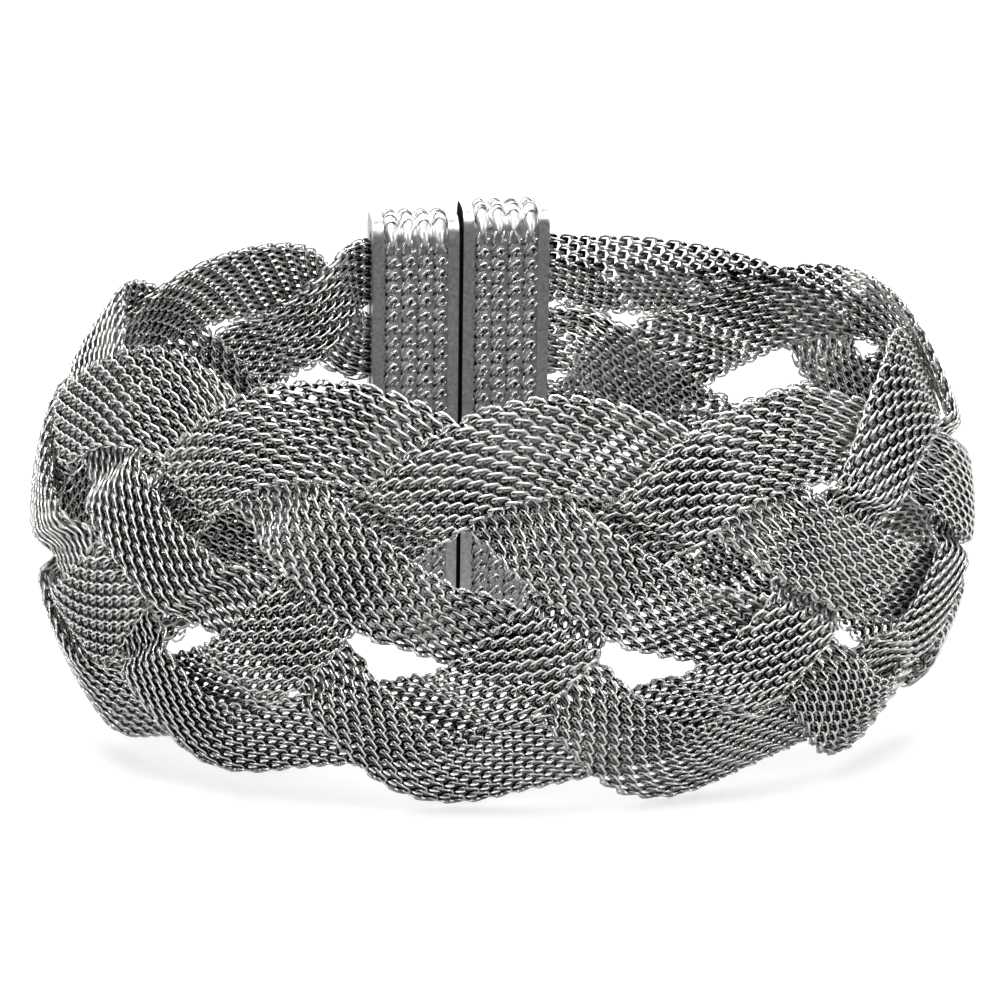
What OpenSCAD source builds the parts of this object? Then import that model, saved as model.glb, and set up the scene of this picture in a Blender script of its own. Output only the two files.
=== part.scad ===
// Woven mesh bracelet: five flattened tubes of knitted wire in a flat braid,
// closed at the back by a magnetic clasp of two upright bars.
// Millimetres. +Z is up and the bracelet stands on its lower edge at z = 0,
// with the clasp at +Y and the front of the braid at -Y.

/* [Loop] */
// Half width of the loop's middle line, side to side
loop_a = 34.9; // [32:0.1:38]
// Half depth of the loop's middle line, front to clasp
loop_b = 20.8; // [20:0.1:24]
// Squareness of the loop: 2 is an ellipse, more is squarer
loop_n = 2.02; // [2:0.01:2.1]
// How far the clasp sits to the right of the loop's middle
loop_skew = -1.64; // [-2:0.01:2]
// How far the loop is moved forward, so that its whole depth is centred
loop_shift = 0.71; // [0:0.01:1.5]
// How far the loop is moved to the right, so that its whole width is centred
loop_side = 0.16; // [0:0.01:0.5]
// How much higher the middle of the braid is at the clasp than at the front
clasp_rise = 2.28; // [0:0.01:3]

/* [Braid] */
// Height of the braid's middle line above the floor, at the front
mid_z = 16.9; // [16.9:0.1:18]
// Number of lobes of the braid between the two bars
lobes = 9.2; // [9.2:0.1:9.4]
// Phase of the braid at the middle of the front, 72 degrees being one lobe
front_phase = 54; // [54:72:126]
// Lean of the braid along the loop, for each millimetre of height
braid_lean = 0.105; // [0:0.005:0.15]
// How much that lean grows with height
lean_growth = 0.0158; // [0:0.0001:0.016]
// How far the braid's edges curl in towards the wrist
edge_curl = 3.9; // [2:0.1:4]
// How much nearer to the wrist the upper edge is than the lower one
edge_tilt = 0.47; // [0:0.01:0.6]

/* [Ribbon] */
// Width of a ribbon, all round
ribbon_w = 7.17; // [6.5:0.01:7.2]
// Thickness of a ribbon in its middle, two layers of wire pressed flat
ribbon_t = 1.05; // [0.8:0.05:1.1]
// How far a ribbon's middle is from the braid's middle surface at a crossing
crossing_f = 0.72; // [0.7:0.01:0.8]
// How much narrower each half of a ribbon is where it dives under another
under_narrow = 0.9; // [0.6:0.05:1]
// How much of a ribbon's inner edge is drawn in where it turns
turn_gather = 1.9; // [1.8:0.05:2.1]

/* [Clasp] */
// Width of one bar, along the loop
bar_w = 7; // [6.5:0.1:7.5]
// Thickness of a bar, from the wrist side to the outside
bar_t = 4.8; // [4:0.1:5.5]
// Height of a bar
bar_h = 36.2; // [35:0.1:38]
// Gap between the two bars
bar_gap = 0.3; // [0.2:0.05:0.5]
// How much higher the right bar sits than the left one
bar_step = 0.7; // [0:0.1:1]
// Radius of the bar's rounded top edges
bar_top_r = 1.6; // [1:0.1:2]
// Radius of the bar's bottom edges
bar_bottom_r = 0.5; // [0.3:0.1:1]
// Width of each plain rail beside the sunk panel
rail_w = 0.9; // [0.8:0.1:1.5]
// Depth of the sunk panel
panel_d = 0.45; // [0.3:0.05:0.6]
// Depth of the slot that holds the ribbons' ends
slot_d = 1.3; // [1:0.1:1.6]
// How far a ribbon's end goes into the slot
grip = 1.1; // [0.8:0.1:1.2]
// Spacing of the five ribbon ends in the slot
end_pitch = 6.2; // [6:0.05:6.3]

/* [Facets] */
// Number of rings along a ribbon
rings = 122; // [100:1:122]

/* [Hidden] */
silver = "#8e8d8a";
steel = "#85858a";

strands = 5;
turn_step = 360 / strands;           // phase between one lobe and the next
blend_len = 6;                       // length over which the braid opens out at the clasp
level_len = 3;                       // length over which the ribbons come level there
edge_gap = 0.3;                      // gap between neighbours in the slot

// --- the loop's middle line, walked by its own length -------------------
loop_steps = 360;
function sgn_pow(v, p) = (v < 0 ? -1 : 1) * pow(abs(v), p);
function loop_point(i) = let (t = -180 + 360 * i / loop_steps)
    [loop_a * sgn_pow(sin(t), 2 / loop_n) - loop_skew * sgn_pow(cos(t), 2 / loop_n),
     -loop_b * sgn_pow(cos(t), 2 / loop_n)];
loop_chord = [for (i = [1 : loop_steps]) norm(loop_point(i) - loop_point(i - 1))];
loop_run = [for (a = 0, i = 0; i <= loop_steps;
                 a = a + (i < loop_steps ? loop_chord[i] : 0), i = i + 1) a];
loop_len = loop_run[loop_steps];
x_of = [for (i = [0 : loop_steps]) [loop_run[i] - loop_len / 2, loop_point(i)[0]]];
y_of = [for (i = [0 : loop_steps]) [loop_run[i] - loop_len / 2, loop_point(i)[1]]];
bar_side = bar_gap / 2 + bar_w;
s_end = loop_len / 2 - bar_side + grip;   // run of a ribbon's end, from the front

// --- the braid, laid out flat: s along the loop, w up ---------------------
function clamp01(x) = min(1, max(0, x));
function ease(x) = let (c = clamp01(x)) c * c * (3 - 2 * c);
function tanh(x) = let (e = exp(2 * max(-15, min(15, x)))) (e - 1) / (e + 1);
function zigzag(a) = 0.9 * (cos(a) + cos(3 * a) / 9);
// sum of the waves of a table of [multiple of the phase, cosine part, sine part]
function waves(table, p, i = 0) = i >= len(table) ? 0 :
    table[i][1] * cos(table[i][0] * p) + table[i][2] * sin(table[i][0] * p)
    + waves(table, p, i + 1);

// height of a ribbon's middle line over its phase: it falls and rises unevenly
path_table = [ // [multiple of the phase, cosine part, sine part]
    [1, 12.2,  0],
    [2,  0.10, -0.845],
    [3,  0.374, -0.15],
    [4, -0.15,  0.80],
    [5, -0.146, -0.29]];
// width added to a ribbon's over its phase
width_table = [ // [multiple of the phase, cosine part, sine part]
    [1, -0.295, 0.218],
    [2,  0.09,  1.084]];
// the hand-made braid's unevenness along the loop
uneven_table = [ // [eighths of the way from bar to bar, along, up, out, taller]
    [0,     0,     0,     0,     0],
    [1,  1.67,   1.0,   1.6,   0.3],
    [2,  2.23,  0.15,  0.25,   0.3],
    [3, -0.38,  0.55,     0,     0],
    [4,     0, -0.25, -0.27,   0.3],
    [5,  1.12,  -0.9, -0.17, -0.55],
    [6, -1.29,   0.1,   0.4, -0.65],
    [7,  -2.3,   1.1,  0.24,  0.35],
    [8,     0,     0,     0,     0]];
// smooth value of a column of that table at run s
function uneven(s, col) = let (
        u = min(7.999, max(0, (s / s_end + 1) * 4)),
        i = floor(u), f = u - i,
        a = uneven_table[max(0, i - 1)][col], b = uneven_table[i][col],
        c = uneven_table[i + 1][col], d = uneven_table[min(8, i + 2)][col])
    b + f * (c - a) / 2 + f * f * (a - 2.5 * b + 2 * c - d / 2)
      + pow(f, 3) * (3 * b - a - 3 * c + d) / 2;

phase_rate = turn_step * lobes / (2 * s_end);
function phase(s) = front_phase + phase_rate * s;
// place of ribbon k among the five ends of one side, 0 at the top
function end_height(k, s) = waves(path_table, phase(s < 0 ? -s_end : s_end) - turn_step * k);
function end_rank(k, s) = len([for (j = [0 : strands - 1])
    if (end_height(j, s) > end_height(k, s)) 1]);
function end_w(k, s) = ((strands - 1) / 2 - end_rank(k, s)) * end_pitch;
// 0 in the braid, 1 where the ribbons lie side by side at the clasp
function opened(s) = ease((abs(s) - (s_end - grip - 0.5 - blend_len)) / blend_len);
function levelled(s) = ease((abs(s) - (s_end - grip - 0.3 - level_len)) / level_len);
function path_w(k, s) = let (p = phase(s) - turn_step * k, e = opened(s))
    waves(path_table, p) * (1 - e) + end_w(k, s) * e;

// +1 where rising ribbons lie over falling ones, -1 where they lie under.
// The three zigzag lines part the four rows of crossings.
row_table = [ // [middle height, size of the zigzag, its shift in phase]
    [ 6.6,   2.7,  4.5],
    [ 0,    -2.7,  1.3],
    [-6.46,  2.7, -4.1]];
row_sharp = 1.6;
turn_sharp = 5;
function row_sign(s, w, i = 0) = i >= len(row_table) ? 1 :
    tanh(row_sharp * (w - row_table[i][0]
        - row_table[i][1] * zigzag(strands * (phase(s) + row_table[i][2]))))
    * row_sign(s, w, i + 1);
function rising(k, s) = -tanh(turn_sharp * sin(phase(s) - turn_step * k));
function slope(k, s) = (path_w(k, s + 0.05) - path_w(k, s - 0.05)) / 0.1;

// lower and upper edge of ribbon k, across its path
function edges(k, s) = let (
        p = phase(s) - turn_step * k,
        e = opened(s),
        over = rising(k, s) * row_sign(s, path_w(k, s)),
        half = (ribbon_w + waves(width_table, p)) / 2 - under_narrow * ease(-over),
        drawn = turn_gather * exp(-pow(sin(p) / 0.4, 2)),
        he = (end_pitch - edge_gap) / 2)
    [(-half + (cos(p) > 0 ? drawn : 0)) * (1 - e) - he * e,
     ( half - (cos(p) < 0 ? drawn : 0)) * (1 - e) + he * e];

// point of ribbon k: q runs from -1 at its lower edge to 1 at its upper edge,
// side is 1 on the outer face, -1 on the inner face and 0 in the middle
function ribbon_point(k, s, q, side) = let (
        ed = edges(k, s),
        v = (ed[0] + ed[1]) / 2 + q * (ed[1] - ed[0]) / 2,
        m = slope(k, s),
        n = sqrt(1 + m * m),
        sp = s - v * m / n,
        wp = path_w(k, s) + v / n,
        f = crossing_f * rising(k, s) * row_sign(sp, wp) * (1 - levelled(s)),
        h = ribbon_t / 2 * sqrt(max(0, 1 - q * q)),
        fade = 1 - ease((abs(sp) - (s_end - 14)) / 13),
        sq = sp + (uneven(sp, 1) - braid_lean * wp - lean_growth * wp * wp) * fade,
        out = f + side * h + (uneven(sp, 3) - edge_curl * pow(wp / 14, 2)
            - edge_tilt * wp / 14) * fade,
        x = lookup(sq, x_of), y = lookup(sq, y_of),
        t = [lookup(sq + 0.6, x_of) - lookup(sq - 0.6, x_of),
             lookup(sq + 0.6, y_of) - lookup(sq - 0.6, y_of)],
        u = t / norm(t))
    [x + u[1] * out + loop_side,
     y - u[0] * out - loop_shift,
     mid_z + clasp_rise * (y + loop_b) / (2 * loop_b) + wp
         + (uneven(sp, 2) + uneven(sp, 4) * wp / 14) * fade];

// section of a ribbon, walked round from its lower edge
section_table = [ // [q across, side]
    [-1,    0],
    [-0.72, 1],
    [ 0,    1],
    [ 0.72, 1],
    [ 1,    0],
    [ 0.72, -1],
    [ 0,   -1],
    [-0.72, -1]];

// One flattened tube of wire mesh, along its whole run in the braid
module ribbon(k) {
    m = len(section_table);
    pts = [for (i = [0 : rings - 1]) let (s = -s_end + 2 * s_end * i / (rings - 1))
               for (j = [0 : m - 1])
                   ribbon_point(k, s, section_table[j][0], section_table[j][1])];
    sides = [for (i = [0 : rings - 2]) for (j = [0 : m - 1]) let (j2 = (j + 1) % m)
                each [[i * m + j, (i + 1) * m + j2, (i + 1) * m + j],
                      [i * m + j, i * m + j2, (i + 1) * m + j2]]];
    first = [for (j = [1 : m - 2]) [0, j + 1, j]];
    e0 = (rings - 1) * m;
    last = [for (j = [1 : m - 2]) [e0, e0 + j, e0 + j + 1]];
    polyhedron(points = pts, faces = concat(sides, first, last), convexity = 12);
}

// Side outline of a bar: rounded at the top, nearly square at the bottom.
// inset draws the front, the back and the top in for the sunk panel.
module bar_outline(inset = 0) {
    hw = bar_t / 2 - inset;
    top = bar_h - inset;
    r = bar_top_r;
    b = bar_bottom_r;
    translate([-hw, b]) square([2 * hw, top - b - r]);
    translate([-hw + r, top - r - 0.01]) square([2 * hw - 2 * r, r + 0.01]);
    translate([-hw + b, 0]) square([2 * hw - 2 * b, b + 0.01]);
    for (m = [-1, 1]) {
        translate([m * (hw - r), top - r]) circle(r = r, $fn = 48);
        translate([m * (hw - b), b]) circle(r = b, $fn = 24);
    }
}

// stretch of bar between two places along the loop, from its profile
module bar_slice(x0, x1, inset = 0)
    translate([x0, 0, 0]) rotate([90, 0, 90]) linear_extrude(height = x1 - x0)
        bar_outline(inset);

// One bar of the clasp: two plain rails, a sunk panel between them, and a
// slot in the outer side that holds the ribbons' ends. side is -1 or 1.
module clasp_bar(side, lift) {
    y0 = loop_b - loop_shift;
    bars_x = loop_skew + loop_side;
    slot_h = (strands - 1) * end_pitch + end_pitch + 0.4;
    slot_z = mid_z + clasp_rise;
    slot_y = lookup(side * (s_end - grip / 2), y_of) - loop_shift;
    difference() {
        translate([bars_x, y0, lift]) {
            x0 = side < 0 ? -bar_side : bar_gap / 2;
            bar_slice(x0, x0 + rail_w);
            bar_slice(x0 + rail_w, x0 + bar_w - rail_w, panel_d);
            bar_slice(x0 + bar_w - rail_w, x0 + bar_w);
        }
        translate([bars_x + (side < 0 ? -bar_side - 1 : bar_side - slot_d),
                   slot_y - 0.85, slot_z - slot_h / 2])
            cube([slot_d + 1, 1.7, slot_h]);
    }
}

module ribbon_1() { color(silver) ribbon(0); }
module ribbon_2() { color(silver) ribbon(1); }
module ribbon_3() { color(silver) ribbon(2); }
module ribbon_4() { color(silver) ribbon(3); }
module ribbon_5() { color(silver) ribbon(4); }
module clasp_bar_left() { color(steel) clasp_bar(-1, 0); }
module clasp_bar_right() { color(steel) clasp_bar(1, bar_step); }

ribbon_1();
ribbon_2();
ribbon_3();
ribbon_4();
ribbon_5();
clasp_bar_left();
clasp_bar_right();
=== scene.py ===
import math

import bpy
import numpy as np
from mathutils import Matrix, Vector


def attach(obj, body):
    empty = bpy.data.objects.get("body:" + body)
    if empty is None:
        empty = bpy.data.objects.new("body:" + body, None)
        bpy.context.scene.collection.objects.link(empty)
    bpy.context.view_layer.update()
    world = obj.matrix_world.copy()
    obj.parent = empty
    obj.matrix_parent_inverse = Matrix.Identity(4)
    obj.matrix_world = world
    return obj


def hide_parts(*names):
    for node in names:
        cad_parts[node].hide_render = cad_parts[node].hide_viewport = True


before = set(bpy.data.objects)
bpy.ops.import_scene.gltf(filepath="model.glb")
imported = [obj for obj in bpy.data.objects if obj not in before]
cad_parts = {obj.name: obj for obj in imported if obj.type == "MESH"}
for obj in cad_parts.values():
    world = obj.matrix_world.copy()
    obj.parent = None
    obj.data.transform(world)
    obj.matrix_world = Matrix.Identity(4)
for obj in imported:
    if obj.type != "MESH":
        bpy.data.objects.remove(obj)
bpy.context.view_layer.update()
root = "root"

MM = 0.001

# ---------------------------------------------------------------------------
# Sizes of the braid, in millimetres and degrees, as in the construction
# ---------------------------------------------------------------------------
LOOP_A, LOOP_B, LOOP_N, LOOP_SKEW = 34.9, 20.8, 2.02, -1.64
LOOP_SHIFT, LOOP_SIDE = 0.71, 0.16
CLASP_RISE = 2.28
MID_Z, LOBES, FRONT_PHASE = 16.9, 9.2, 54.0
BRAID_LEAN, LEAN_GROWTH = 0.105, 0.0158
EDGE_CURL, EDGE_TILT = 3.9, 0.47
RIBBON_W, CROSSING_F = 7.17, 0.72
BAR_W, BAR_T, BAR_H, BAR_GAP, BAR_STEP = 7.0, 4.8, 36.2, 0.3, 0.7
BAR_TOP_R, BAR_BOTTOM_R = 1.6, 0.5
RAIL_W, PANEL_D = 0.9, 0.45
GRIP, END_PITCH = 1.1, 6.2
TURN = 72.0
BLEND_LEN, LEVEL_LEN, EDGE_GAP = 6.0, 3.0, 0.3
# multiple of the phase, cosine part, sine part
PATH = [
    (1, 12.2, 0.0),
    (2, 0.10, -0.845),
    (3, 0.374, -0.15),
    (4, -0.15, 0.80),
    (5, -0.146, -0.29),
]
WIDTH = [(1, -0.295, 0.218), (2, 0.09, 1.084)]
# along, up, out and taller, at eighths of the way from bar to bar
UNEVEN = np.array(
    [
        (0.0, 0.0, 0.0, 0.0),
        (1.67, 1.0, 1.6, 0.3),
        (2.23, 0.15, 0.25, 0.3),
        (-0.38, 0.55, 0.0, 0.0),
        (0.0, -0.25, -0.27, 0.3),
        (1.12, -0.9, -0.17, -0.55),
        (-1.29, 0.1, 0.4, -0.65),
        (-2.3, 1.1, 0.24, 0.35),
        (0.0, 0.0, 0.0, 0.0),
    ]
)
# middle height, size of the zigzag, its shift in phase
ROWS = [(6.6, 2.7, 4.5), (0.0, -2.7, 1.3), (-6.46, 2.7, -4.1)]

# The shown ribbons are drawn in less at their dives than the solids that stand
# for them, and their inner edges spread a little at the turns.
UNDER_NARROW, TURN_WIDEN = 0.1, 0.3


def sgn_pow(v, p):
    return np.sign(v) * np.abs(v) ** p


_t = np.radians(np.linspace(-180, 180, 3601))
_x = LOOP_A * sgn_pow(np.sin(_t), 2 / LOOP_N)
_x = _x - LOOP_SKEW * sgn_pow(np.cos(_t), 2 / LOOP_N)
_y = -LOOP_B * sgn_pow(np.cos(_t), 2 / LOOP_N)
_run = np.concatenate([[0], np.cumsum(np.hypot(np.diff(_x), np.diff(_y)))])
LOOP_LEN = _run[-1]
_run = _run - LOOP_LEN / 2
BAR_SIDE = BAR_GAP / 2 + BAR_W
S_END = LOOP_LEN / 2 - BAR_SIDE + GRIP


def x_of(s):
    return np.interp(s, _run, _x)


def y_of(s):
    return np.interp(s, _run, _y)


def ease(x):
    x = np.clip(x, 0, 1)
    return x * x * (3 - 2 * x)


def cosd(a):
    return np.cos(np.radians(a))


def sind(a):
    return np.sin(np.radians(a))


def zigzag(a):
    return 0.9 * (cosd(a) + cosd(3 * a) / 9)


def waves(table, p):
    return sum(c * cosd(n * p) + s * sind(n * p) for n, c, s in table)


def uneven(s, col):
    u = np.clip((s / S_END + 1) * 4, 0, 7.999)
    i = np.floor(u).astype(int)
    f = u - i
    v = UNEVEN[:, col]
    a, b, c, d = v[np.maximum(i - 1, 0)], v[i], v[i + 1], v[np.minimum(i + 2, 8)]
    return (
        b
        + f * (c - a) / 2
        + f**2 * (a - 2.5 * b + 2 * c - d / 2)
        + f**3 * (3 * b - a - 3 * c + d) / 2
    )


RATE = TURN * LOBES / (2 * S_END)


def phase(s):
    return FRONT_PHASE + RATE * s


def end_w(k, side):
    at = phase(side * S_END)
    high = [waves(PATH, at - TURN * j) for j in range(5)]
    rank = sum(1 for h in high if h > high[k])
    return (2 - rank) * END_PITCH


def opened(s):
    return ease((np.abs(s) - (S_END - GRIP - 0.5 - BLEND_LEN)) / BLEND_LEN)


def levelled(s):
    return ease((np.abs(s) - (S_END - GRIP - 0.3 - LEVEL_LEN)) / LEVEL_LEN)


def path_w(k, s):
    p = phase(s) - TURN * k
    e = opened(s)
    ends = np.where(s < 0, end_w(k, -1), end_w(k, 1))
    return waves(PATH, p) * (1 - e) + ends * e


def row_sign(s, w):
    out = 1.0
    for mid, size, shift in ROWS:
        out = out * np.tanh(1.6 * (w - mid - size * zigzag(5 * (phase(s) + shift))))
    return out


def rising(k, s):
    return -np.tanh(5 * sind(phase(s) - TURN * k))


def slope(k, s):
    return (path_w(k, s + 0.05) - path_w(k, s - 0.05)) / 0.1


def edges(k, s):
    p = phase(s) - TURN * k
    e = opened(s)
    over = rising(k, s) * row_sign(s, path_w(k, s))
    half = (RIBBON_W + waves(WIDTH, p)) / 2 - UNDER_NARROW * ease(-over)
    turned = TURN_WIDEN * np.exp(-((sind(p) / 0.4) ** 2))
    he = (END_PITCH - EDGE_GAP) / 2
    lo = (-half - np.where(cosd(p) > 0, turned, 0)) * (1 - e) - he * e
    hi = (half + np.where(cosd(p) < 0, turned, 0)) * (1 - e) + he * e
    return lo, hi


def flat_place(k, s, q):
    """Run and height of a ribbon's point on the flat braid, and its level."""
    lo, hi = edges(k, s)
    v = (lo + hi) / 2 + q * (hi - lo) / 2
    m = slope(k, s)
    n = np.sqrt(1 + m * m)
    sp = s - v * m / n
    wp = path_w(k, s) + v / n
    f = CROSSING_F * rising(k, s) * row_sign(sp, wp) * (1 - levelled(s))
    return sp, wp, f


def ribbon_point(k, s, q, h):
    """Point of ribbon k in metres: q across, -1 to 1, and h out of its middle."""
    sp, wp, f = flat_place(k, s, q)
    fade = 1 - ease((np.abs(sp) - (S_END - 14)) / 13)
    sq = sp + (uneven(sp, 0) - BRAID_LEAN * wp - LEAN_GROWTH * wp**2) * fade
    curl = EDGE_CURL * (wp / 14) ** 2 + EDGE_TILT * wp / 14
    out = f + h + (uneven(sp, 2) - curl) * fade
    x, y = x_of(sq), y_of(sq)
    tx, ty = x_of(sq + 0.6) - x_of(sq - 0.6), y_of(sq + 0.6) - y_of(sq - 0.6)
    n = np.hypot(tx, ty)
    return np.stack(
        [
            x + ty / n * out + LOOP_SIDE,
            y - tx / n * out - LOOP_SHIFT,
            MID_Z
            + CLASP_RISE * (y + LOOP_B) / (2 * LOOP_B)
            + wp
            + (uneven(sp, 1) + uneven(sp, 3) * wp / 14) * fade,
        ],
        -1,
    )


# ---------------------------------------------------------------------------
# The pressed tube's section: the surface in which the wires lie
# ---------------------------------------------------------------------------
HALF_SPAN, FACE_H, FOLD_R = 3.42, 0.28, 0.34
HALF_FULL = 3.64  # to the outside of the wires at the fold


def section_table():
    """Perimeter, place across, height and normal round the pressed tube."""
    u = np.linspace(0, 2 * math.pi, 4001)
    c, s = np.cos(u), np.sin(u)
    v = HALF_SPAN * np.sign(c) * np.abs(c) ** 0.42
    edge = np.exp(-(((HALF_SPAN - np.abs(v) - FOLD_R) / 0.6) ** 2))
    h = (FACE_H + (FOLD_R - FACE_H) * edge) * np.sign(s) * np.abs(s) ** 0.55
    run = np.concatenate([[0], np.cumsum(np.hypot(np.diff(v), np.diff(h)))])
    size = run[-1]
    even = np.linspace(0, size, 1601)
    v, h = np.interp(even, run, v), np.interp(even, run, h)
    d = 0.12 / (size / 1600)
    d = max(2, int(d))
    vv, hh = np.concatenate([v[:-1]] * 3), np.concatenate([h[:-1]] * 3)
    n = len(v) - 1
    i = np.arange(n) + n
    tv, th = vv[i + d] - vv[i - d], hh[i + d] - hh[i - d]
    l = np.hypot(tv, th)
    # u runs from +v over the outer face to -v, so the outward normal is (th, -tv)
    nv, nh = th / l, -tv / l
    close = lambda a: np.concatenate([a, a[:1]])
    return even, v, h, close(nv), close(nh), size


SEC_RUN, SEC_V, SEC_H, SEC_NV, SEC_NH, ROUND = section_table()


def section(c, z):
    """Place across and height of a wire's point: c round the tube, which is up
    on the outer face, and z out of the tube."""
    c = np.mod(-c, ROUND)
    v, h = np.interp(c, SEC_RUN, SEC_V), np.interp(c, SEC_RUN, SEC_H)
    nv, nh = np.interp(c, SEC_RUN, SEC_NV), np.interp(c, SEC_RUN, SEC_NH)
    return v + nv * z, h + nh * z


# ---------------------------------------------------------------------------
# The mesh: coiled wires that run slantwise round the tube, each turn hooked
# into the coils beside it
# ---------------------------------------------------------------------------
ROWS_ROUND, ROWS_SHIFT = 24, 12
CELL_RUN = 1.6
WIRE_R, WIRE_DEEP = 0.110, 0.106  # across and out of the layer
# the strips are painted shade: they take the darkest tone
DEEP_W, DEEP_Z = 0.56, -0.15  # the coils' deeper turns, shown as dark flat strips
OPEN_RUN, OPEN_TOP = 24.0, 13.2  # up to the right bar the mesh is pulled open
# One turn of a coil: along its axis, across it, and out of the layer, in mm
TURN_TABLE = np.array(
    [
        (0.00, 0.00, 0.06),
        (0.45, 0.19, 0.13),
        (0.90, 0.38, 0.11),
        (1.18, 0.24, 0.02),
        (1.33, -0.02, -0.12),
        (1.24, -0.27, -0.08),
        (0.98, -0.42, -0.09),
        (0.86, -0.22, -0.15),
    ]
)


def cover_map():
    """For each ribbon, where on the flat braid it lies and at what level."""
    step = 0.12
    ns = int(2 * S_END / step) + 60
    nw = int(34 / step)
    maps = []
    for k in range(5):
        level = np.full((ns, nw), np.nan)
        s = np.linspace(-S_END, S_END, 6000)[:, None]
        q = np.linspace(-0.72, 0.72, 121)[None, :]
        s, q = np.broadcast_arrays(s, q)
        sp, wp, f = flat_place(k, s, q)
        i = np.round((sp + S_END) / step).astype(int) + 30
        j = np.round((wp + 17) / step).astype(int)
        ok = (i >= 0) & (i < ns) & (j >= 0) & (j < nw)
        level[i[ok], j[ok]] = f[ok]
        maps.append(level)
    return step, maps


STEP, COVERS = cover_map()


def hidden(k, s, q, h):
    """Whether another ribbon lies close against this face of ribbon k there."""
    sp, wp, f = flat_place(k, s, np.clip(q, -1, 1))
    i = np.clip(np.round((sp + S_END) / STEP).astype(int) + 30, 0, COVERS[0].shape[0] - 1)
    j = np.clip(np.round((wp + 17) / STEP).astype(int), 0, COVERS[0].shape[1] - 1)
    under = np.zeros(s.shape, bool)
    over = np.zeros(s.shape, bool)
    for other in range(5):
        if other == k:
            continue
        at = COVERS[other][i, j]
        with np.errstate(invalid="ignore"):
            under |= at > f + 0.5
            over |= at < f - 0.5
    return np.where(h > 0, under, over) & (np.abs(q) < 0.93)


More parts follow.
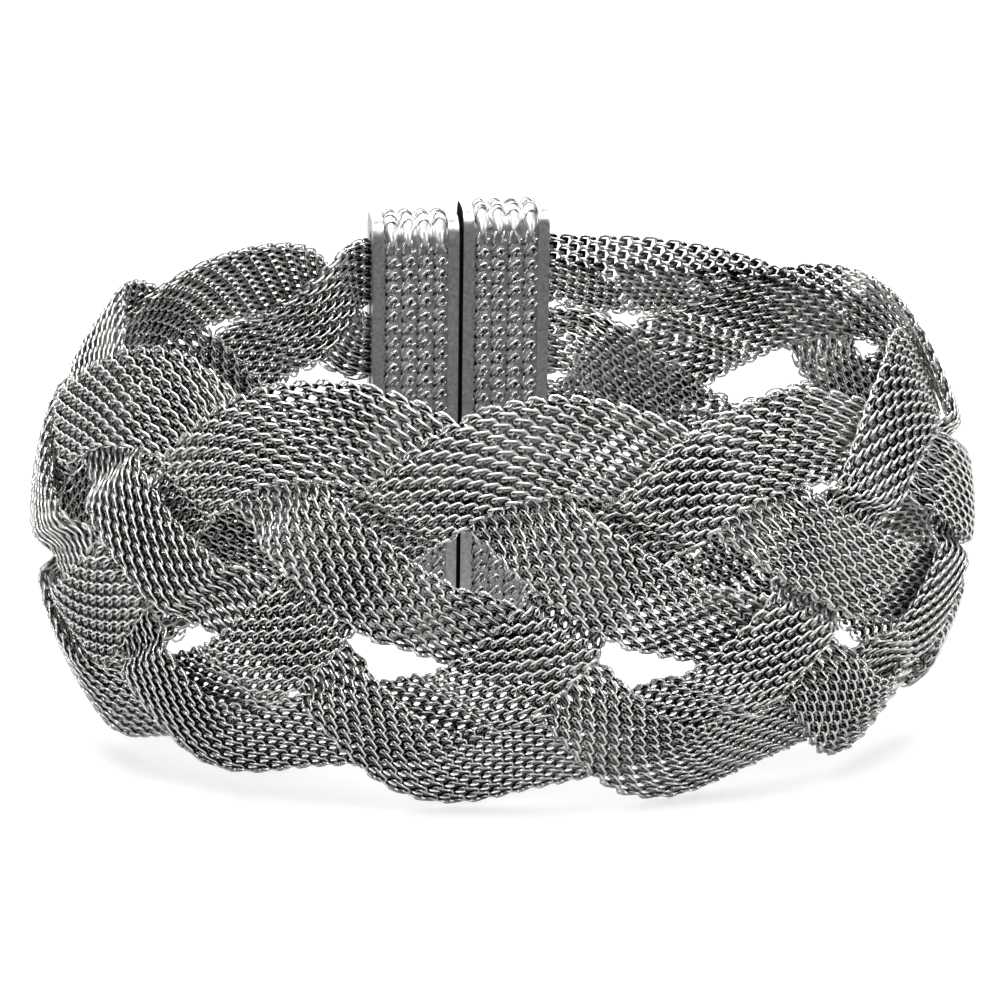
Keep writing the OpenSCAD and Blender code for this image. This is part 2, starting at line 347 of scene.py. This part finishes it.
def ribbon_wires(k):
    """Vertices, quads and shade of all the wires of ribbon k."""
    rng = np.random.default_rng(100 + k)
    s = np.linspace(-S_END, S_END, 3001)
    mid = ribbon_point(k, s, np.zeros_like(s), np.zeros_like(s))
    run = np.concatenate([[0], np.cumsum(np.linalg.norm(np.diff(mid, axis=0), axis=1))])
    length = run[-1]
    cells = round(length / CELL_RUN)
    pitch = length / cells
    row = ROUND / ROWS_ROUND
    step = np.array([pitch * ROWS_SHIFT / ROWS_ROUND, -row])
    size = np.hypot(*step)
    ax = step / size
    up = np.array([-ax[1], ax[0]])
    scale = size / 1.04
    turn = TURN_TABLE * [scale, scale, 1.0]
    m = len(turn)

    verts, quads, shade, across, along, count = [], [], [], [], [], 0
    turns = int(math.ceil(length / step[0])) + 4
    for wire in range(ROWS_SHIFT):
        i = np.arange(-ROWS_ROUND - 5, turns)
        base_l = wire * pitch + (i * step[0])
        base_c = i * step[1]
        wob = rng.normal(0, 0.012, (len(i), 1, 3))
        one = turn[None] + wob
        l = base_l[:, None] + one[..., 0] * ax[0] + one[..., 1] * up[0]
        c = base_c[:, None] + one[..., 0] * ax[1] + one[..., 1] * up[1]
        z = one[..., 2]
        l, c, z = l.ravel(), c.ravel(), z.ravel()
        # from the last point before one end to the first past the other
        first = np.flatnonzero(l < 0.1)[-1] + 1
        last = np.flatnonzero(l > length - 0.1)[0]
        pl, pc, pz = l[first:last], c[first:last], z[first:last]
        order = np.arange(first, last) % m
        ss = np.interp(pl, run, s)
        v, h = section(pc, pz)
        q = v / HALF_FULL
        # coarser where no one can look
        dark = hidden(k, ss, q, h)
        keep = ~dark | np.isin(order, [0, 2, 4, 6])
        pc, pz, ss, q, h = (a[keep] for a in (pc, pz, ss, q, h))
        p = ribbon_point(k, ss, q, h)
        v2, h2 = section(pc, pz + 0.1)
        up3 = ribbon_point(k, ss, v2 / HALF_FULL, h2) - p
        t = np.empty_like(p)
        t[1:-1] = p[2:] - p[:-2]
        t[0], t[-1] = p[1] - p[0], p[-1] - p[-2]
        t /= np.linalg.norm(t, axis=1)[:, None]
        b = np.cross(t, up3)
        b /= np.linalg.norm(b, axis=1)[:, None]
        n = np.cross(b, t)
        ring = np.stack(
            [p + WIRE_DEEP * n, p + WIRE_R * b, p - WIRE_DEEP * n, p - WIRE_R * b], 1
        )
        verts.append(ring.reshape(-1, 3))
        at = count + 4 * np.arange(len(p) - 1)[:, None]
        a, d = at + np.arange(4)[None], at + (np.arange(4)[None] + 1) % 4
        quads.append(np.stack([a, a + 4, d + 4, d], -1).reshape(-1, 4))
        e = count + 4 * (len(p) - 1)
        quads.append([[count, count + 1, count + 2, count + 3], [e + 3, e + 2, e + 1, e]])
        # painted shade: the wires where the mesh is pulled open are darker
        sp, wp, _ = flat_place(k, ss, np.clip(q, -1, 1))
        far = ease((sp - S_END + OPEN_RUN) / 3) * ease((wp - OPEN_TOP + 1.5) / 1.5)
        shade.append(np.repeat(pz - 0.22 * far, 4))
        across.append(np.zeros(4 * len(p)))
        along.append(np.zeros(4 * len(p)))
        count += 4 * len(p)

        # the wire's deeper turns, flat strips in painted shade under its front ones
        l, c = base_l + 0.6 * size * ax[0], base_c + 0.6 * size * ax[1]
        inside = (l > 0.1) & (l < length - 0.1)
        l, c = l[inside], c[inside]
        across.append(np.repeat([-1.0, 1.0], len(l)))
        along.append(np.tile(i[inside], 2))
        for e in (-0.5, 0.5):
            ll = np.clip(l + e * DEEP_W * up[0], 0, length)
            cc = c + e * DEEP_W * up[1]
            v, h = section(cc, DEEP_Z)
            verts.append(ribbon_point(k, np.interp(ll, run, s), v / HALF_FULL, h))
        # none where the mesh is pulled open and lets the light through
        ss = np.interp(l, run, s)
        v, h = section(c, DEEP_Z)
        sp, wp, _ = flat_place(k, ss, v / HALF_FULL)
        holes = (wp > OPEN_TOP) | (np.sin(sp * 3.1 + wp) * np.sin(wp * 2.7) > 0.75)
        shut = ~(holes & (sp > S_END - OPEN_RUN))
        m2 = len(l)
        at = (count + np.arange(m2 - 1))[shut[:-1] & shut[1:]]
        quads.append(np.stack([at, at + 1, at + m2 + 1, at + m2], -1))
        # painted shade: the strips get the darkest tone
        shade.append(np.full(2 * m2, -0.4))
        count += 2 * m2
    return (
        np.concatenate(verts) * MM,
        np.concatenate([np.asarray(x) for x in quads]),
        {
            "out": np.concatenate(shade),
            "across": np.concatenate(across),
            "along": np.concatenate(along),
        },
    )


def mesh_object(name, verts, quads, values, material):
    me = bpy.data.meshes.new(name)
    me.vertices.add(len(verts))
    me.vertices.foreach_set("co", verts.astype(np.float32).ravel())
    me.loops.add(quads.size)
    me.loops.foreach_set("vertex_index", quads.astype(np.int32).ravel())
    me.polygons.add(len(quads))
    me.polygons.foreach_set("loop_start", np.arange(0, quads.size, 4, dtype=np.int32))
    me.update(calc_edges=True)
    me.validate()
    for key, val in values.items():
        at = me.attributes.new(key, "FLOAT", "POINT")
        at.data.foreach_set("value", val.astype(np.float32))
    me.shade_smooth()
    me.materials.append(material)
    ob = bpy.data.objects.new(name, me)
    bpy.context.scene.collection.objects.link(ob)
    return ob


# ---------------------------------------------------------------------------
# Materials
# ---------------------------------------------------------------------------
def node(nt, kind, **values):
    n = nt.nodes.new(kind)
    for key, val in values.items():
        setattr(n, key, val)
    return n


def ramp(nt, fac, stops):
    """A colour ramp from (place, colour) stops, fed by the socket fac."""
    r = node(nt, "ShaderNodeValToRGB")
    els = r.color_ramp.elements
    while len(els) < len(stops):
        els.new(0.5)
    for el, (at, colour) in zip(els, stops):
        el.position = at
        el.color = (*colour, 1)
    nt.links.new(fac, r.inputs["Fac"])
    return r


def wire_material():
    mat = bpy.data.materials.new("wire_mesh_silver")
    mat.use_nodes = True
    nt = mat.node_tree
    bsdf = nt.nodes["Principled BSDF"]
    bsdf.inputs["Metallic"].default_value = 1.0
    # painted shade and highlight: dark in the recesses, bright where the wires stand proud
    out = node(nt, "ShaderNodeAttribute", attribute_name="out")
    painted_shade_by_height = node(nt, "ShaderNodeMapRange")
    painted_shade_by_height.inputs["From Min"].default_value = -0.25
    painted_shade_by_height.inputs["From Max"].default_value = 0.13
    painted_shade_by_height.inputs["To Max"].default_value = 0.75
    nt.links.new(out.outputs["Fac"], painted_shade_by_height.inputs["Value"])
    place = node(nt, "ShaderNodeTexCoord")
    cloud = node(nt, "ShaderNodeTexNoise")
    cloud.inputs["Scale"].default_value = 140
    cloud.inputs["Detail"].default_value = 4
    nt.links.new(place.outputs["Object"], cloud.inputs["Vector"])
    add = node(nt, "ShaderNodeMath", operation="MULTIPLY_ADD")
    add.inputs[1].default_value = 0.5
    nt.links.new(cloud.outputs["Fac"], add.inputs[0])
    nt.links.new(painted_shade_by_height.outputs["Result"], add.inputs[2])
    # the flat strips show the deeper turns as a painted wavy wire on a ground of painted shade
    across = node(nt, "ShaderNodeAttribute", attribute_name="across")
    along = node(nt, "ShaderNodeAttribute", attribute_name="along")
    angle = node(nt, "ShaderNodeMath", operation="MULTIPLY_ADD")
    angle.inputs[1].default_value = 2 * math.pi
    angle.inputs[2].default_value = 0.2 * math.pi
    nt.links.new(along.outputs["Fac"], angle.inputs[0])
    wave = node(nt, "ShaderNodeMath", operation="COSINE")
    nt.links.new(angle.outputs[0], wave.inputs[0])
    off = node(nt, "ShaderNodeMath", operation="MULTIPLY_ADD")
    off.inputs[1].default_value = 0.55
    nt.links.new(wave.outputs[0], off.inputs[0])
    nt.links.new(across.outputs["Fac"], off.inputs[2])
    from_wire = node(nt, "ShaderNodeMath", operation="ABSOLUTE")
    nt.links.new(off.outputs[0], from_wire.inputs[0])
    deep = node(nt, "ShaderNodeMapRange", interpolation_type="SMOOTHSTEP")
    deep.inputs["From Min"].default_value = 0.38
    deep.inputs["From Max"].default_value = 0.12
    nt.links.new(from_wire.outputs[0], deep.inputs["Value"])
    strip = node(nt, "ShaderNodeMath", operation="LESS_THAN")
    strip.inputs[1].default_value = -0.35
    nt.links.new(out.outputs["Fac"], strip.inputs[0])
    shown = node(nt, "ShaderNodeMath", operation="MULTIPLY")
    nt.links.new(deep.outputs["Result"], shown.inputs[0])
    nt.links.new(strip.outputs[0], shown.inputs[1])
    lifted = node(nt, "ShaderNodeMath", operation="MULTIPLY_ADD")
    lifted.inputs[1].default_value = 0.2
    nt.links.new(shown.outputs[0], lifted.inputs[0])
    nt.links.new(add.outputs[0], lifted.inputs[2])
    bump = node(nt, "ShaderNodeBump")
    bump.inputs["Strength"].default_value = 0.8
    bump.inputs["Distance"].default_value = 0.08 * MM
    nt.links.new(shown.outputs[0], bump.inputs["Height"])
    nt.links.new(bump.outputs["Normal"], bsdf.inputs["Normal"])
    # painted shade at the low end of the tone, painted highlight at the high end
    tone = ramp(
        nt,
        lifted.outputs[0],
        [
            (0.25, (0.007, 0.0068, 0.0065)),
            (0.5, (0.42, 0.415, 0.405)),
            (0.95, (0.88, 0.87, 0.85)),
        ],
    )
    nt.links.new(tone.outputs["Color"], bsdf.inputs["Base Color"])
    rough = node(nt, "ShaderNodeMapRange")
    rough.inputs["From Min"].default_value = 0.3
    rough.inputs["From Max"].default_value = 0.7
    rough.inputs["To Min"].default_value = 0.19
    rough.inputs["To Max"].default_value = 0.31
    nt.links.new(cloud.outputs["Fac"], rough.inputs["Value"])
    # the recesses are dull
    dull = node(nt, "ShaderNodeMapRange")
    dull.inputs["From Min"].default_value = -0.3
    dull.inputs["From Max"].default_value = -0.16
    dull.inputs["To Min"].default_value = 0.6
    dull.inputs["To Max"].default_value = 0.0
    nt.links.new(out.outputs["Fac"], dull.inputs["Value"])
    total = node(nt, "ShaderNodeMath", operation="ADD")
    nt.links.new(rough.outputs["Result"], total.inputs[0])
    nt.links.new(dull.outputs["Result"], total.inputs[1])
    keen = node(nt, "ShaderNodeMath", operation="MULTIPLY_ADD")
    keen.inputs[1].default_value = -0.45
    nt.links.new(shown.outputs[0], keen.inputs[0])
    nt.links.new(total.outputs[0], keen.inputs[2])
    nt.links.new(keen.outputs[0], bsdf.inputs["Roughness"])
    return mat


wire_mat = wire_material()

triangles = 0
for k in range(5):
    verts, quads, values = ribbon_wires(k)
    ob = mesh_object(f"mesh_ribbon_{k + 1}", verts, quads, values, wire_mat)
    triangles += 2 * len(quads)
    print(ob.name, "triangles", 2 * len(quads))
    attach(ob, root)
    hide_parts(f"ribbon_{k + 1}")
print("all wires", triangles)

# ---------------------------------------------------------------------------
# The clasp: a cast relief between the rails of each bar, rows of small curls
# on both faces that end in four rounded cords over the top
# ---------------------------------------------------------------------------
COLUMNS, COLUMN_STEP, MARK_STEP = 4, 1.3, 1.12
PANEL_HALF, PANEL_TOP, FOOT = BAR_T / 2 - PANEL_D, BAR_H - PANEL_D, 0.9
BEND = math.pi / 2 * BAR_TOP_R
TOP_FLAT = PANEL_HALF - BAR_TOP_R
PANEL_MID = PANEL_TOP - BAR_TOP_R - FOOT + BEND + TOP_FLAT

# across, along, above the panel and radius, in mm
CURL = np.array(
    [
        (-0.42, -0.42, 0.04, 0.05),
        (-0.26, -0.24, 0.16, 0.10),
        (-0.06, -0.02, 0.24, 0.13),
        (0.14, 0.20, 0.27, 0.13),
        (0.33, 0.27, 0.23, 0.11),
        (0.42, 0.12, 0.14, 0.09),
        (0.34, -0.06, 0.03, 0.06),
    ]
)
LEAF = np.array(
    [
        (-0.52, -0.06, 0.03, 0.04),
        (-0.38, 0.12, 0.14, 0.09),
        (-0.20, 0.34, 0.16, 0.09),
        (-0.06, 0.52, 0.06, 0.04),
    ]
)
BEAD = np.array(
    [
        (0.18, -0.50, 0.04, 0.04),
        (0.26, -0.40, 0.12, 0.09),
        (0.38, -0.30, 0.12, 0.08),
        (0.46, -0.22, 0.04, 0.04),
    ]
)
BAR = np.array(
    [
        (-0.10, -0.44, 0.03, 0.04),
        (0.00, -0.34, 0.16, 0.08),
        (0.12, -0.20, 0.16, 0.08),
        (0.22, -0.10, 0.04, 0.04),
    ]
)
PIT = np.array(
    [
        (0.12, -0.26, 0.02, 0.05),
        (0.16, -0.16, 0.03, 0.13),
        (0.20, -0.06, 0.03, 0.13),
        (0.22, 0.02, 0.02, 0.05),
    ]
)
STREAK = np.array(
    [
        (0.06, -0.62, 0.03, 0.04),
        (0.00, -0.30, 0.20, 0.12),
        (-0.02, 0.05, 0.30, 0.15),
        (0.03, 0.40, 0.30, 0.12),
        (0.08, 0.66, 0.20, 0.05),
    ]
)


def panel_place(r, lift):
    """Place through the bar, height and outward normal, at the run r along the
    panel from the foot of the wrist side, over the top and down outside."""
    d, side = np.abs(r - PANEL_MID), np.sign(r - PANEL_MID)
    a = np.clip((d - TOP_FLAT) / BAR_TOP_R, 0, math.pi / 2)
    t = side * (np.minimum(d, TOP_FLAT) + BAR_TOP_R * np.sin(a))
    z = PANEL_TOP - BAR_TOP_R * (1 - np.cos(a)) - np.maximum(d - TOP_FLAT - BEND, 0)
    nt, nz = side * np.sin(a), np.cos(a)
    return t + nt * lift, z + nz * lift, nt, nz


def tubes(p, up, r, sides):
    """Vertices and quads of many tubes, p and up of shape (tubes, points, 3)."""
    t = np.gradient(p, axis=1)
    t /= np.linalg.norm(t, axis=2)[..., None]
    b = np.cross(t, up)
    b /= np.linalg.norm(b, axis=2)[..., None]
    n = np.cross(b, t)
    a = np.arange(sides) * 2 * math.pi / sides
    ring = p[:, :, None] + r[:, :, None, None] * (
        np.cos(a)[:, None] * n[:, :, None] + np.sin(a)[:, None] * b[:, :, None]
    )
    m, k = p.shape[:2]
    first = np.arange(m)[:, None, None] * k * sides
    at = first + np.arange(k - 1)[None, :, None] * sides
    j = np.arange(sides)[None, None]
    j2 = (j + 1) % sides
    quads = [np.stack([at + j, at + sides + j, at + sides + j2, at + j2], -1).reshape(-1, 4)]
    base, end = first.ravel(), first.ravel() + (k - 1) * sides
    for i in range(1, sides - 1, 2):
        quads.append(np.stack([base, base + i, base + i + 1, base + i + 2], -1))
        quads.append(np.stack([end, end + i + 2, end + i + 1, end + i], -1))
    return ring.reshape(-1, 3), np.concatenate(quads)


def relief(side):
    rng = np.random.default_rng(7 if side < 0 else 8)
    cords = (np.arange(COLUMNS) - (COLUMNS - 1) / 2) * COLUMN_STEP
    parts = []

    def add(u, r, h, radius, sides, shade=None):
        t, z, nt, nz = panel_place(r, h)
        p = np.stack([u, t, z], -1)
        up = np.stack([np.zeros_like(u), nt, nz], -1)
        verts, quads = tubes(p, up, radius, sides)
        shown = h if shade is None else np.full_like(h, shade)
        parts.append((verts, quads, np.repeat(shown.ravel(), sides)))

    def marks(table, cu, cr, tilt):
        count = len(cu)
        turn = tilt[:, None] + rng.normal(0, 0.16, (count, 1))
        grow = rng.normal(1.12, 0.1, (count, 1))
        x = table[:, 0] + rng.normal(0, 0.03, (count, len(table)))
        y = table[:, 1] + rng.normal(0, 0.03, (count, len(table)))
        u = cu[:, None] + grow * (x * np.cos(turn) - y * np.sin(turn))
        r = cr[:, None] + grow * (x * np.sin(turn) + y * np.cos(turn))
        h = table[:, 2] * rng.uniform(0.75, 1.15, (count, 1))
        add(u, r, h, np.broadcast_to(table[:, 3], u.shape), 4)

    edge = TOP_FLAT + BEND + 0.8
    rows = int((PANEL_MID - edge) / MARK_STEP)
    from_mid = edge + (np.arange(rows) + 0.45) * MARK_STEP
    places = np.concatenate([PANEL_MID - from_mid, PANEL_MID + from_mid])
    cu, cr = (a.ravel() for a in np.meshgrid(cords, places))
    for table in (CURL, LEAF, BEAD, BAR, PIT):
        marks(table, cu, cr, np.zeros(len(cu)))
    between = (np.arange(COLUMNS + 1) - COLUMNS / 2) * COLUMN_STEP
    cu, cr = (a.ravel() for a in np.meshgrid(between, places + MARK_STEP / 2))
    marks(LEAF * [0.8, 0.8, 1.2, 1.0], cu, cr, np.full(len(cu), -0.3))
    marks(PIT * [0.8, 0.8, 1.0, 0.8], cu + 0.1, cr + 0.1, np.zeros(len(cu)))

    # streaks, two to a column and leaning together, on the rounded corners
    fine = (np.arange(2 * COLUMNS) - COLUMNS + 0.5) * COLUMN_STEP / 2
    cu, cr = (a.ravel() for a in np.meshgrid(fine, [PANEL_MID - edge + 0.55, PANEL_MID + edge - 0.55]))
    lean = np.where(np.arange(len(cu)) % 2, 0.22, -0.22)
    marks(STREAK, cu, cr, lean)

    # the four cords over the top, which taper to points on its corners
    at = np.linspace(-1, 1, 25)
    reach = TOP_FLAT + BEND - 0.1 + rng.uniform(-0.2, 0.2, (COLUMNS, 1))
    r = PANEL_MID + at * reach
    u = cords[:, None] + 0.08 * np.sin(at * 9 + rng.uniform(0, 6, (COLUMNS, 1)))
    radius = 0.62 * (1 - np.abs(at) ** 5) + 0.03
    radius = radius * (1 + 0.08 * np.sin(at * 12 + rng.uniform(0, 6, (COLUMNS, 1))))
    # painted highlight: the cords' fixed shade of 0.5 gives them the brightest tone
    add(u, r, 0.62 - radius * 0.9, radius, 10, 0.5)
    # and short strands laid over them, near black with painted shade
    cu, cr = (a.ravel() for a in np.meshgrid(cords, PANEL_MID + np.arange(-2.5, 3) * 0.62))
    x = np.linspace(-0.56, 0.56, 9)
    lift = 0.062 + np.sqrt(0.62**2 - x**2)
    thick = 0.075 * (1 - (x / 0.62) ** 2) + 0.01
    u = cu[:, None] + x
    bend = rng.normal(0.35, 0.12, (len(cu), 1)) * (1 - (x / 0.56) ** 2)
    r = cr[:, None] + bend + rng.normal(0, 0.08, (len(cu), 1)) + x * rng.normal(0.2, 0.15, (len(cu), 1))
    add(u, r, np.broadcast_to(lift, u.shape), np.broadcast_to(thick, u.shape), 4, 0.06)

    verts, quads, shade, n = [], [], [], 0
    for v, q, h in parts:
        verts.append(v)
        quads.append(q + n)
        shade.append(h)
        n += len(v)
    x0 = LOOP_SKEW + LOOP_SIDE + side * (BAR_GAP + BAR_W) / 2
    verts = np.concatenate(verts) + [x0, LOOP_B - LOOP_SHIFT, BAR_STEP if side > 0 else 0]
    return verts * MM, np.concatenate(quads), np.concatenate(shade)


def clasp_material(name, with_height):
    mat = bpy.data.materials.new(name)
    mat.use_nodes = True
    nt = mat.node_tree
    bsdf = nt.nodes["Principled BSDF"]
    bsdf.inputs["Metallic"].default_value = 1.0
    place = node(nt, "ShaderNodeTexCoord")
    grain = node(nt, "ShaderNodeTexNoise")
    grain.inputs["Scale"].default_value = 3000
    grain.inputs["Detail"].default_value = 5
    nt.links.new(place.outputs["Object"], grain.inputs["Vector"])
    fac = grain.outputs["Fac"]
    stops = [(0.3, (0.33, 0.325, 0.325)), (0.7, (0.58, 0.575, 0.57))]
    if with_height:
        # painted shade in the relief's hollows and painted highlight on its tops, by height above the
        # panel
        out = node(nt, "ShaderNodeAttribute", attribute_name="out")
        painted_shade_by_height = node(nt, "ShaderNodeMapRange")
        painted_shade_by_height.inputs["From Min"].default_value = 0.03
        painted_shade_by_height.inputs["From Max"].default_value = 0.26
        nt.links.new(out.outputs["Fac"], painted_shade_by_height.inputs["Value"])
        add = node(nt, "ShaderNodeMath", operation="MULTIPLY_ADD")
        add.inputs[1].default_value = 0.4
        nt.links.new(grain.outputs["Fac"], add.inputs[0])
        nt.links.new(painted_shade_by_height.outputs["Result"], add.inputs[2])
        fac = add.outputs[0]
        stops = [(0.2, (0.012, 0.012, 0.012)), (0.5, (0.4, 0.4, 0.4)), (0.9, (0.95, 0.95, 0.94))]
    tone = ramp(nt, fac, stops)
    colour = tone.outputs["Color"]
    if not with_height:
        # painted shade: black in the gap where the two halves meet
        split = node(nt, "ShaderNodeSeparateXYZ")
        nt.links.new(place.outputs["Object"], split.inputs[0])
        off = node(nt, "ShaderNodeMath", operation="SUBTRACT")
        off.inputs[1].default_value = (LOOP_SKEW + LOOP_SIDE) * MM
        nt.links.new(split.outputs["X"], off.inputs[0])
        far = node(nt, "ShaderNodeMath", operation="ABSOLUTE")
        nt.links.new(off.outputs[0], far.inputs[0])
        gap_shade_mask = node(nt, "ShaderNodeMapRange")
        gap_shade_mask.inputs["From Min"].default_value = (BAR_GAP / 2 + 0.01) * MM
        gap_shade_mask.inputs["From Max"].default_value = (BAR_GAP / 2 + 0.04) * MM
        nt.links.new(far.outputs[0], gap_shade_mask.inputs["Value"])
        dark = node(nt, "ShaderNodeMix", data_type="RGBA")
        nt.links.new(gap_shade_mask.outputs["Result"], dark.inputs[0])
        dark.inputs[6].default_value = (0.004, 0.004, 0.004, 1)
        nt.links.new(colour, dark.inputs[7])
        colour = dark.outputs[2]
    nt.links.new(colour, bsdf.inputs["Base Color"])
    rough = node(nt, "ShaderNodeMapRange")
    rough.inputs["From Min"].default_value = 0.3
    rough.inputs["From Max"].default_value = 0.7
    rough.inputs["To Min"].default_value = 0.2 if with_height else 0.3
    rough.inputs["To Max"].default_value = 0.32 if with_height else 0.46
    nt.links.new(grain.outputs["Fac"], rough.inputs["Value"])
    gloss = rough.outputs["Result"]
    if with_height:
        # the worn cords over the top are duller
        worn = node(nt, "ShaderNodeMapRange")
        worn.inputs["From Min"].default_value = 0.3
        worn.inputs["From Max"].default_value = 0.42
        worn.inputs["To Max"].default_value = 0.14
        nt.links.new(out.outputs["Fac"], worn.inputs["Value"])
        total = node(nt, "ShaderNodeMath", operation="ADD")
        nt.links.new(gloss, total.inputs[0])
        nt.links.new(worn.outputs["Result"], total.inputs[1])
        gloss = total.outputs[0]
    if not with_height:
        dull = node(nt, "ShaderNodeMix")
        nt.links.new(gap_shade_mask.outputs["Result"], dull.inputs[0])
        dull.inputs[2].default_value = 1.0
        nt.links.new(gloss, dull.inputs[3])
        gloss = dull.outputs[0]
    nt.links.new(gloss, bsdf.inputs["Roughness"])
    bump = node(nt, "ShaderNodeBump")
    bump.inputs["Strength"].default_value = 0.5
    bump.inputs["Distance"].default_value = 0.00008
    nt.links.new(grain.outputs["Fac"], bump.inputs["Height"])
    nt.links.new(bump.outputs["Normal"], bsdf.inputs["Normal"])
    return mat


cast_mat = clasp_material("clasp_cast_metal", False)
relief_mat = clasp_material("clasp_relief_metal", True)
for name, side in (("left", -1), ("right", 1)):
    verts, quads, shade = relief(side)
    ob = mesh_object(f"clasp_relief_{name}", verts, quads, {"out": shade}, relief_mat)
    print(ob.name, "triangles", 2 * len(quads))
    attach(ob, root)
    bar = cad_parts[f"clasp_bar_{name}"]
    for place in bar.material_slots:
        place.material = cast_mat

# ---------------------------------------------------------------------------
# Floor, light and camera
# ---------------------------------------------------------------------------
me = bpy.data.meshes.new("floor")
F = 1.5
me.from_pydata([(-F, -F, 0), (F, -F, 0), (F, F, 0), (-F, F, 0)], [], [(0, 1, 2, 3)])
floor = bpy.data.objects.new("floor", me)
bpy.context.scene.collection.objects.link(floor)
fm = bpy.data.materials.new("floor")
fm.use_nodes = True
fb = fm.node_tree.nodes["Principled BSDF"]
fb.inputs["Base Color"].default_value = (0.6, 0.6, 0.6, 1)
fb.inputs["Roughness"].default_value = 0.9
fb.inputs["Specular IOR Level"].default_value = 0.1
# lit evenly to the edge of the picture, while the metal sees its plain shade
lit = node(fm.node_tree, "ShaderNodeEmission")
lit.inputs["Strength"].default_value = 0.55
seen = node(fm.node_tree, "ShaderNodeLightPath")
both = node(fm.node_tree, "ShaderNodeAddShader")
pick = node(fm.node_tree, "ShaderNodeMixShader")
fm.node_tree.links.new(fb.outputs[0], both.inputs[0])
fm.node_tree.links.new(lit.outputs[0], both.inputs[1])
fm.node_tree.links.new(seen.outputs["Is Camera Ray"], pick.inputs["Fac"])
fm.node_tree.links.new(fb.outputs[0], pick.inputs[1])
fm.node_tree.links.new(both.outputs[0], pick.inputs[2])
fm.node_tree.links.new(pick.outputs[0], fm.node_tree.nodes["Material Output"].inputs["Surface"])
me.materials.append(fm)

world = bpy.data.worlds.new("studio")
bpy.context.scene.world = world
world.use_nodes = True
wt = world.node_tree
plain = wt.nodes["Background"]
plain.inputs["Color"].default_value = (1, 1, 1, 1)
plain.inputs["Strength"].default_value = 1.0
# what lights the metal: a dim room, lighter above
coord = node(wt, "ShaderNodeTexCoord")
split = node(wt, "ShaderNodeSeparateXYZ")
wt.links.new(coord.outputs["Generated"], split.inputs[0])
sky = ramp(
    wt,
    split.outputs["Z"],
    [(0.0, (0.03, 0.03, 0.03)), (0.25, (0.08, 0.08, 0.08)), (0.8, (0.5, 0.5, 0.5))],
)
behind = node(wt, "ShaderNodeMapRange")
behind.inputs["From Min"].default_value = 0.2
behind.inputs["From Max"].default_value = 0.7
behind.inputs["To Min"].default_value = 1.0
behind.inputs["To Max"].default_value = 6.0
wt.links.new(split.outputs["Y"], behind.inputs["Value"])
room = node(wt, "ShaderNodeBackground")
wt.links.new(sky.outputs["Color"], room.inputs["Color"])
wt.links.new(behind.outputs["Result"], room.inputs["Strength"])
path = node(wt, "ShaderNodeLightPath")
mix = node(wt, "ShaderNodeMixShader")
wt.links.new(path.outputs["Is Camera Ray"], mix.inputs["Fac"])
wt.links.new(room.outputs[0], mix.inputs[1])
wt.links.new(plain.outputs[0], mix.inputs[2])
wt.links.new(mix.outputs[0], wt.nodes["World Output"].inputs["Surface"])


def area(name, at, to, size, radiance):
    """A soft box of this size in metres, and how bright it looks."""
    light = bpy.data.lights.new(name, "AREA")
    light.shape = "RECTANGLE"
    light.size, light.size_y = size
    light.energy = radiance * math.pi * size[0] * size[1]
    ob = bpy.data.objects.new(name, light)
    ob.location = at
    ob.rotation_euler = (Vector(to) - Vector(at)).to_track_quat("-Z", "Y").to_euler()
    bpy.context.scene.collection.objects.link(ob)


area("overhead", (-0.03, -0.10, 0.42), (0, 0, 0), (0.28, 0.22), 9.3)
area("front_left", (-0.4, -0.45, 0.25), (0, 0, 0.02), (0.12, 0.18), 13.5)
area("back", (0.04, 0.42, 0.30), (0, 0.02, 0.03), (0.3, 0.3), 4.5)
area("front_right", (0.45, -0.3, 0.2), (0, 0, 0.02), (0.11, 0.2), 10)

EL, AZ, DIST = math.radians(19.865), math.radians(7.638), 0.35033
ROLL = math.radians(0.831)
PX = 4490.7
SHOT_X, SHOT_Y = 507.2, 521.2
look = Vector((math.sin(AZ) * math.cos(EL), math.cos(AZ) * math.cos(EL), -math.sin(EL)))
level = Vector((math.cos(AZ), -math.sin(AZ), 0))
upright = level.cross(look)
right = level * math.cos(ROLL) + upright * math.sin(ROLL)
over = upright * math.cos(ROLL) - level * math.sin(ROLL)
target = Vector((LOOP_SIDE, 0.65 - LOOP_SHIFT, 15 + MID_Z - 14.97)) * MM
cam = bpy.data.cameras.new("camera")
cam.lens = PX / 1000 * 36
cam.sensor_width = 36
cam.clip_start, cam.clip_end = 0.01, 20
camera = bpy.data.objects.new("camera", cam)
eye = target - look * DIST
aim = target - right * (SHOT_X - 500) / PX * DIST + over * (SHOT_Y - 500) / PX * DIST
camera.location = eye
ahead = (aim - eye).normalized()
side = ahead.cross(over).normalized()
camera.rotation_euler = Matrix((side, side.cross(ahead), -ahead)).transposed().to_euler()
bpy.context.scene.collection.objects.link(camera)
bpy.context.scene.camera = camera
bpy.context.scene.view_settings.view_transform = "Standard"
